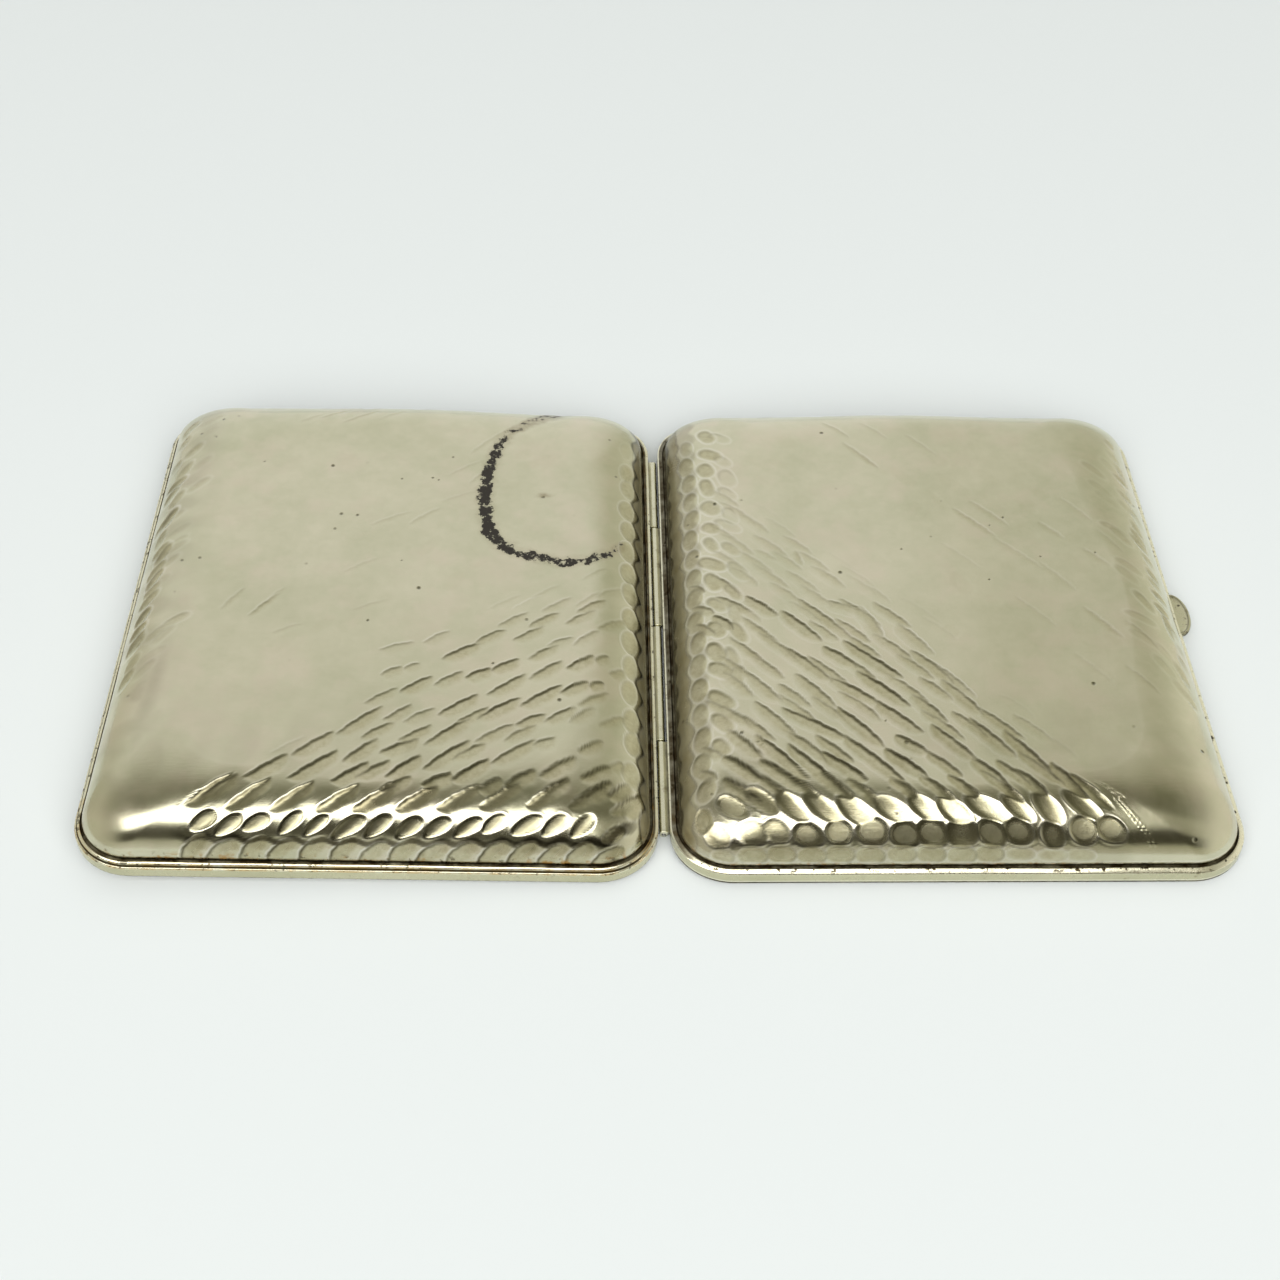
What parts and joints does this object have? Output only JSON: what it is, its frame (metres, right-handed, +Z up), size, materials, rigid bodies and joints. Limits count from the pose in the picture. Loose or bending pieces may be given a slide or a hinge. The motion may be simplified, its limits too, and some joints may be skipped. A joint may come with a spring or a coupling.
{
  "type": "cigarette case",
  "caption": "Hinged pocket cigarette case with hammered covers, rim frames, elastic bands and a sliding thumb catch, lying open face down.",
  "frame": {"origin": "middle of the open case's footprint, on the surface that it lies on", "axes": "+X from the left half to the right half, which carries the thumb-piece; +Y along the hinge, away from the picture's viewer; +Z up, out of the outer faces"},
  "size_m": [0.168, 0.1, 0.0123],
  "materials": {
    "cover_metal": "nickel silver, hammered and polished, worn to a satin",
    "frame_metal": "nickel silver, drawn, with brown tarnish in the grooves",
    "gilt": "gilt wash, satin",
    "spring_steel": "bare",
    "elastic": "ribbed woven elastic"
  },
  "bodies": {
    "right_half": {"right_cover": "cover_metal", "right_frame": "frame_metal", "hinge_knuckle_2": "frame_metal", "hinge_knuckle_4": "frame_metal", "hinge_pin": "spring_steel", "lip_near": "gilt", "lip_far": "gilt", "lip_outer_near": "gilt", "lip_outer_far": "gilt", "latch_spring": "spring_steel", "spring_keeper_near": "gilt", "spring_keeper_far": "gilt", "right_band": "elastic", "right_clip_near": "gilt", "right_clip_far": "gilt"},
    "left_half": {"left_cover": "cover_metal", "left_frame": "frame_metal", "hinge_knuckle_1": "frame_metal", "hinge_knuckle_3": "frame_metal", "catch_tongue": "gilt", "left_band": "elastic", "left_clip_near": "gilt", "left_clip_far": "gilt"},
    "thumb_piece": {"thumb_piece": "frame_metal"}
  },
  "joints": [
    {"name": "case_hinge", "type": "hinge", "parent": "right_half", "child": "left_half", "pos_m": [-0.00117, 0, 0.00062], "axis": [0, -1, 0], "range_deg": [-38, 181.6]},
    {"name": "thumb_press", "type": "slide", "parent": "right_half", "child": "thumb_piece", "axis": [-1, 0, 0], "range_m": [0, 0.0008], "stiffness_N_per_m": 1500, "deforming": ["latch_spring"]}
  ]
}
